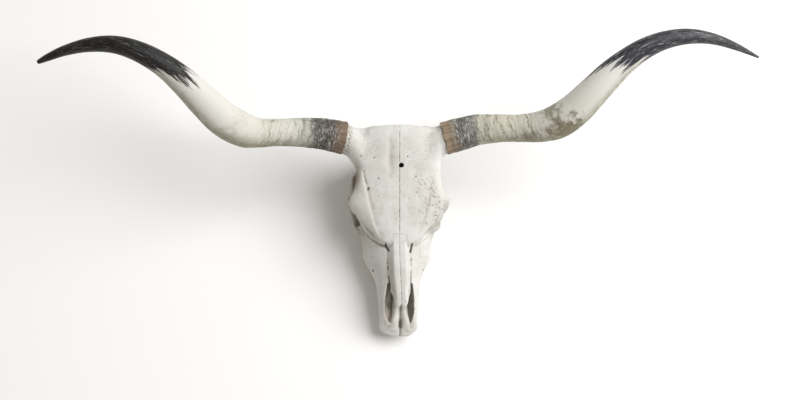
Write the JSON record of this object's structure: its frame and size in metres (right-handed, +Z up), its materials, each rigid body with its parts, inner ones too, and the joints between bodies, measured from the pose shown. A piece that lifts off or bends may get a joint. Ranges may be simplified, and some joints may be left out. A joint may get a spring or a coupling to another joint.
{
  "type": "longhorn steer skull",
  "caption": "Bleached skull of a longhorn steer without its lower jaw, with broad upswept horns, lying at rest on its cheek teeth.",
  "frame": {"origin": "on the floor under the middle of the skull and horns together", "axes": "-Y towards the nose, X along the spread of the horns, +Z up from the teeth to the horns"},
  "size_m": [1.7056, 0.667, 0.4073],
  "materials": {
    "bone": "matte",
    "horn": "satin"
  },
  "bodies": {
    "root": {"cranium": "bone", "nasal_left": "bone", "nasal_right": "bone", "cheekbone_left": "bone", "cheekbone_right": "bone", "maxilla_left": "bone", "maxilla_right": "bone", "premaxilla_left": "bone", "premaxilla_right": "bone", "horn_left": "horn", "horn_right": "horn"}
  },
  "joints": []
}
